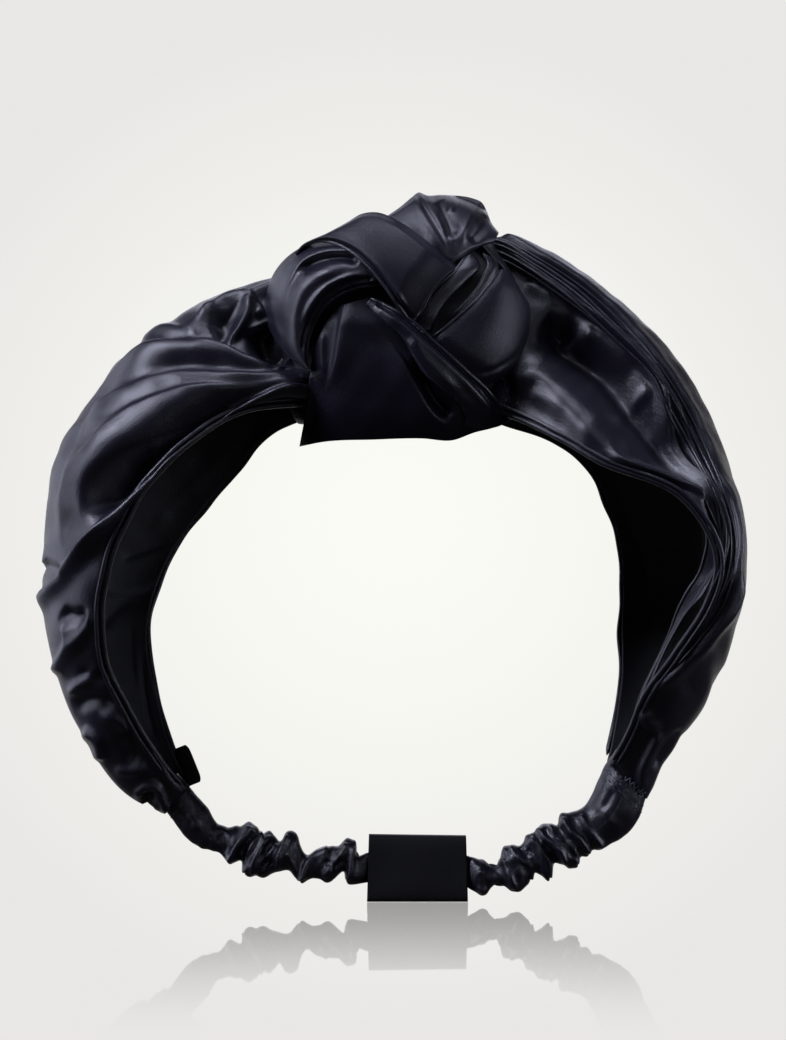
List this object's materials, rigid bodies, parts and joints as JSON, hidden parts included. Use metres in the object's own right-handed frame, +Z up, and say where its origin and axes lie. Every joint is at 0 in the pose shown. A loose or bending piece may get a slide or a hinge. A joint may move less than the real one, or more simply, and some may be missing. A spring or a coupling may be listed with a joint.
{
  "type": "knotted headband",
  "caption": "Wide soft satin headband with two pleated bands tied in a knot at the top and a gathered elastic back with a blank woven sleeve.",
  "frame": {"origin": "middle of the whole headband in plan, at the height of the label sleeve's lower face, on which it stands", "axes": "+Z up through the knot, +X towards the wearer's left side as seen from the front, -Y towards the front of the knot"},
  "size_m": [0.1887, 0.0754, 0.1907],
  "materials": {
    "satin": "dark navy silk satin, face side out",
    "lining_satin": "dark navy silk satin, inner side",
    "thread": "matching sewing thread",
    "elastic": "braided elastic",
    "label_weave": "black woven ribbon, blank"
  },
  "bodies": {
    "knot": {"knot_core": "satin", "knot_lower_flap": "satin", "knot_left_loop": "satin", "knot_right_lobe": "satin", "knot_diagonal_fold": "satin", "knot_inner_pleat": "satin", "knot_over_strap": "satin", "knot_top_tail": "satin", "knot_back_wrap": "satin", "knot_tack_stitch": "thread"},
    "left_band": {"left_outer_panel": "satin", "left_lining": "lining_satin", "left_front_hem": "satin", "left_back_hem": "satin", "left_join_stitch": "thread"},
    "right_band": {"right_outer_panel": "satin", "right_lining": "lining_satin", "right_front_hem": "satin", "right_back_hem": "satin", "right_join_stitch": "thread", "right_anchor_stitch": "thread"},
    "left_elastic": {"left_casing": "satin", "left_elastic_strip": "elastic"},
    "right_elastic": {"right_casing": "satin", "right_elastic_strip": "elastic"},
    "label": {"label_sleeve": "label_weave", "label_seam_stitch": "thread"},
    "side_tag": {"side_tag": "label_weave"}
  },
  "joints": [
    {"name": "left_band_spread", "type": "hinge", "parent": "knot", "child": "left_band", "pos_m": [-0.034, 0, 0.167], "axis": [0, 1, 0], "range_deg": [0, 8], "stiffness_Nm_per_rad": 3},
    {"name": "right_band_spread", "type": "hinge", "parent": "knot", "child": "right_band", "pos_m": [0.035, 0, 0.178], "axis": [0, 1, 0], "range_deg": [-8, 0], "stiffness_Nm_per_rad": 3},
    {"name": "left_elastic_stretch", "type": "slide", "parent": "left_band", "child": "left_elastic", "axis": [0.8796, 0, 0.4756], "range_m": [0, 0.0236], "stiffness_N_per_m": 120},
    {"name": "right_elastic_stretch", "type": "slide", "parent": "right_band", "child": "right_elastic", "axis": [-0.9196, 0, 0.3929], "range_m": [0, 0.0247], "stiffness_N_per_m": 120},
    {"name": "label_rise", "type": "slide", "parent": "knot", "child": "label", "axis": [0, 0, 1], "range_m": [0, 0.006], "stiffness_N_per_m": 40},
    {"name": "side_tag_fold", "type": "hinge", "parent": "left_band", "child": "side_tag", "pos_m": [-0.0562, 0.0016, 0.0364], "axis": [-0.3746, 0, 0.9272], "range_deg": [-50, 50], "stiffness_Nm_per_rad": 0.002}
  ],
  "couplings": [
    {"joint": "right_band_spread", "follows": "left_band_spread", "ratio": -1},
    {"joint": "left_elastic_stretch", "follows": "left_band_spread", "m_per_rad": 0.169},
    {"joint": "right_elastic_stretch", "follows": "left_band_spread", "m_per_rad": 0.1767},
    {"joint": "label_rise", "follows": "left_band_spread", "m_per_rad": 0.0429}
  ]
}
